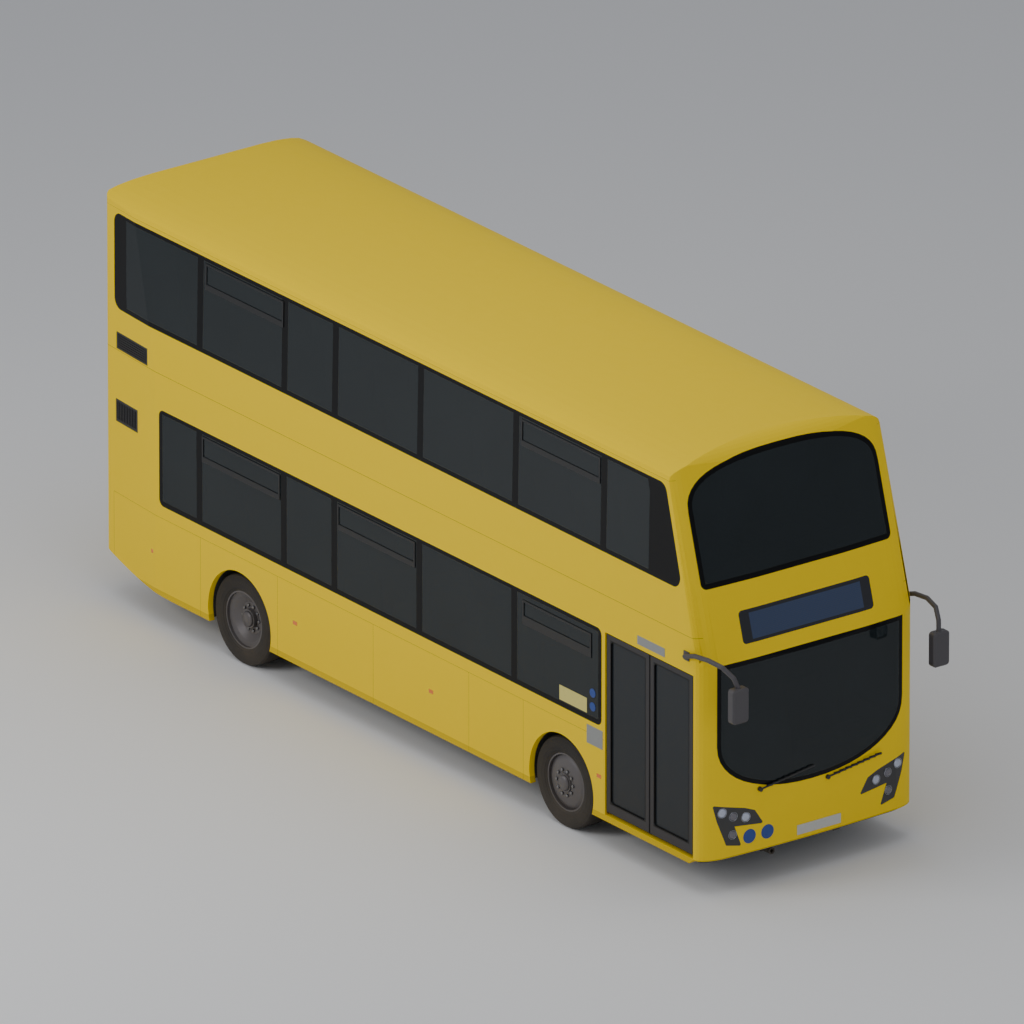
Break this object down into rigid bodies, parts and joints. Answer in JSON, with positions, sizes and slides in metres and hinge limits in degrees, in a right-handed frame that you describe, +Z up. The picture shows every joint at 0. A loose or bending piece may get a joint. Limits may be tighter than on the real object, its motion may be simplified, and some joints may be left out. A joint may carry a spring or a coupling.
{
  "type": "double decker bus",
  "caption": "Two-deck city bus with a single two-leaf entrance door, side window bands on both decks, a raked upper front and twin rear wheels.",
  "frame": {"origin": "on the road, under the middle of the whole length with mirrors", "axes": "+X forward, +Y to the left side, +Z up"},
  "size_m": [10.105, 2.661, 4.255],
  "materials": {
    "yellow_paint": "satin",
    "dark_glass": "smooth",
    "floor_covering": "matte",
    "chassis_paint": "matte",
    "black_plastic": "matte",
    "door_frame": "satin",
    "display_panel": "gloss",
    "lamp_lens": "gloss",
    "cast_metal": "rough",
    "aluminium_tread": "brushed",
    "seat_fabric": "woven",
    "driver_fabric": "woven",
    "partition_panel": "satin",
    "rail_paint": "gloss",
    "tyre_rubber": "matte",
    "rim_paint": "satin"
  },
  "bodies": {
    "body": {"chassis_frame": "chassis_paint", "lower_floor": "floor_covering", "upper_floor": "floor_covering", "wheel_housings": "floor_covering", "right_lower_side": "yellow_paint", "left_lower_side": "yellow_paint", "right_upper_side": "yellow_paint", "left_upper_side": "yellow_paint", "roof": "yellow_paint", "front_lower_panel": "yellow_paint", "front_upper_panel": "yellow_paint", "rear_lower_panel": "yellow_paint", "rear_upper_panel": "yellow_paint", "windscreen": "dark_glass", "upper_windscreen": "dark_glass", "side_windows": "dark_glass", "rear_window": "dark_glass", "destination_display": "display_panel", "side_grilles": "black_plastic", "lamps": "lamp_lens", "mirrors": "black_plastic", "wipers": "black_plastic", "engine_block": "cast_metal", "front_axle": "cast_metal", "rear_axle": "cast_metal", "staircase": "aluminium_tread", "passenger_seats": "seat_fabric", "driver_seat": "driver_fabric", "dashboard": "black_plastic", "cab_partition": "partition_panel", "handrails": "rail_paint"},
    "left_steering": {"left_knuckle": "cast_metal"},
    "right_steering": {"right_knuckle": "cast_metal"},
    "steering_wheel": {"steering_wheel": "black_plastic"},
    "front_left_wheel": {"front_left_tyre": "tyre_rubber", "front_left_rim": "rim_paint"},
    "front_right_wheel": {"front_right_tyre": "tyre_rubber", "front_right_rim": "rim_paint"},
    "rear_left_wheels": {"rear_left_tyres": "tyre_rubber", "rear_left_rims": "rim_paint"},
    "rear_right_wheels": {"rear_right_tyres": "tyre_rubber", "rear_right_rims": "rim_paint"},
    "rear_door_arm": {"rear_door_post": "door_frame"},
    "front_door_arm": {"front_door_post": "door_frame"},
    "rear_door": {"rear_door_leaf": "door_frame"},
    "front_door": {"front_door_leaf": "door_frame"},
    "engine_lid": {"engine_cover": "yellow_paint"}
  },
  "joints": [
    {"name": "steer_left", "type": "hinge", "parent": "body", "child": "left_steering", "pos_m": [2.3525, 0.9875, 0.455], "axis": [0, 0, 1], "range_deg": [-40, 40]},
    {"name": "steer_right", "type": "hinge", "parent": "body", "child": "right_steering", "pos_m": [2.3525, -0.9875, 0.455], "axis": [0, 0, 1], "range_deg": [-40, 40]},
    {"name": "turn_steering_wheel", "type": "hinge", "parent": "body", "child": "steering_wheel", "pos_m": [4.1825, 0.72, 1.182], "axis": [-0.5, 0, 0.866], "range_deg": [-720, 720]},
    {"name": "spin_front_left", "type": "hinge", "parent": "left_steering", "child": "front_left_wheel", "pos_m": [2.3525, 1.1075, 0.455], "axis": [0, 1, 0], "continuous": true},
    {"name": "spin_front_right", "type": "hinge", "parent": "right_steering", "child": "front_right_wheel", "pos_m": [2.3525, -1.1075, 0.455], "axis": [0, 1, 0], "continuous": true},
    {"name": "spin_rear_left", "type": "hinge", "parent": "body", "child": "rear_left_wheels", "pos_m": [-2.7725, 1.1075, 0.455], "axis": [0, 1, 0], "continuous": true},
    {"name": "spin_rear_right", "type": "hinge", "parent": "body", "child": "rear_right_wheels", "pos_m": [-2.7725, -1.1075, 0.455], "axis": [0, 1, 0], "continuous": true},
    {"name": "rear_door_swing", "type": "hinge", "parent": "body", "child": "rear_door_arm", "pos_m": [3.0195, -1.172, 1.2], "axis": [0, 0, 1], "range_deg": [0, 80]},
    {"name": "rear_door_turn", "type": "hinge", "parent": "rear_door_arm", "child": "rear_door", "pos_m": [3.3868, -1.172, 1.2], "axis": [0, 0, 1], "range_deg": [-160, 0]},
    {"name": "front_door_swing", "type": "hinge", "parent": "body", "child": "front_door_arm", "pos_m": [4.4325, -1.172, 1.2], "axis": [0, 0, -1], "range_deg": [0, 80]},
    {"name": "front_door_turn", "type": "hinge", "parent": "front_door_arm", "child": "front_door", "pos_m": [4.0652, -1.172, 1.2], "axis": [0, 0, -1], "range_deg": [-160, 0]},
    {"name": "engine_cover_hinge", "type": "hinge", "parent": "body", "child": "engine_lid", "pos_m": [-5.0405, 0, 1.528], "axis": [0, 1, 0], "range_deg": [0, 75]}
  ],
  "couplings": [
    {"joint": "steer_right", "follows": "steer_left", "ratio": 1},
    {"joint": "turn_steering_wheel", "follows": "steer_left", "ratio": 18},
    {"joint": "rear_door_turn", "follows": "rear_door_swing", "ratio": -2},
    {"joint": "front_door_turn", "follows": "front_door_swing", "ratio": -2}
  ]
}
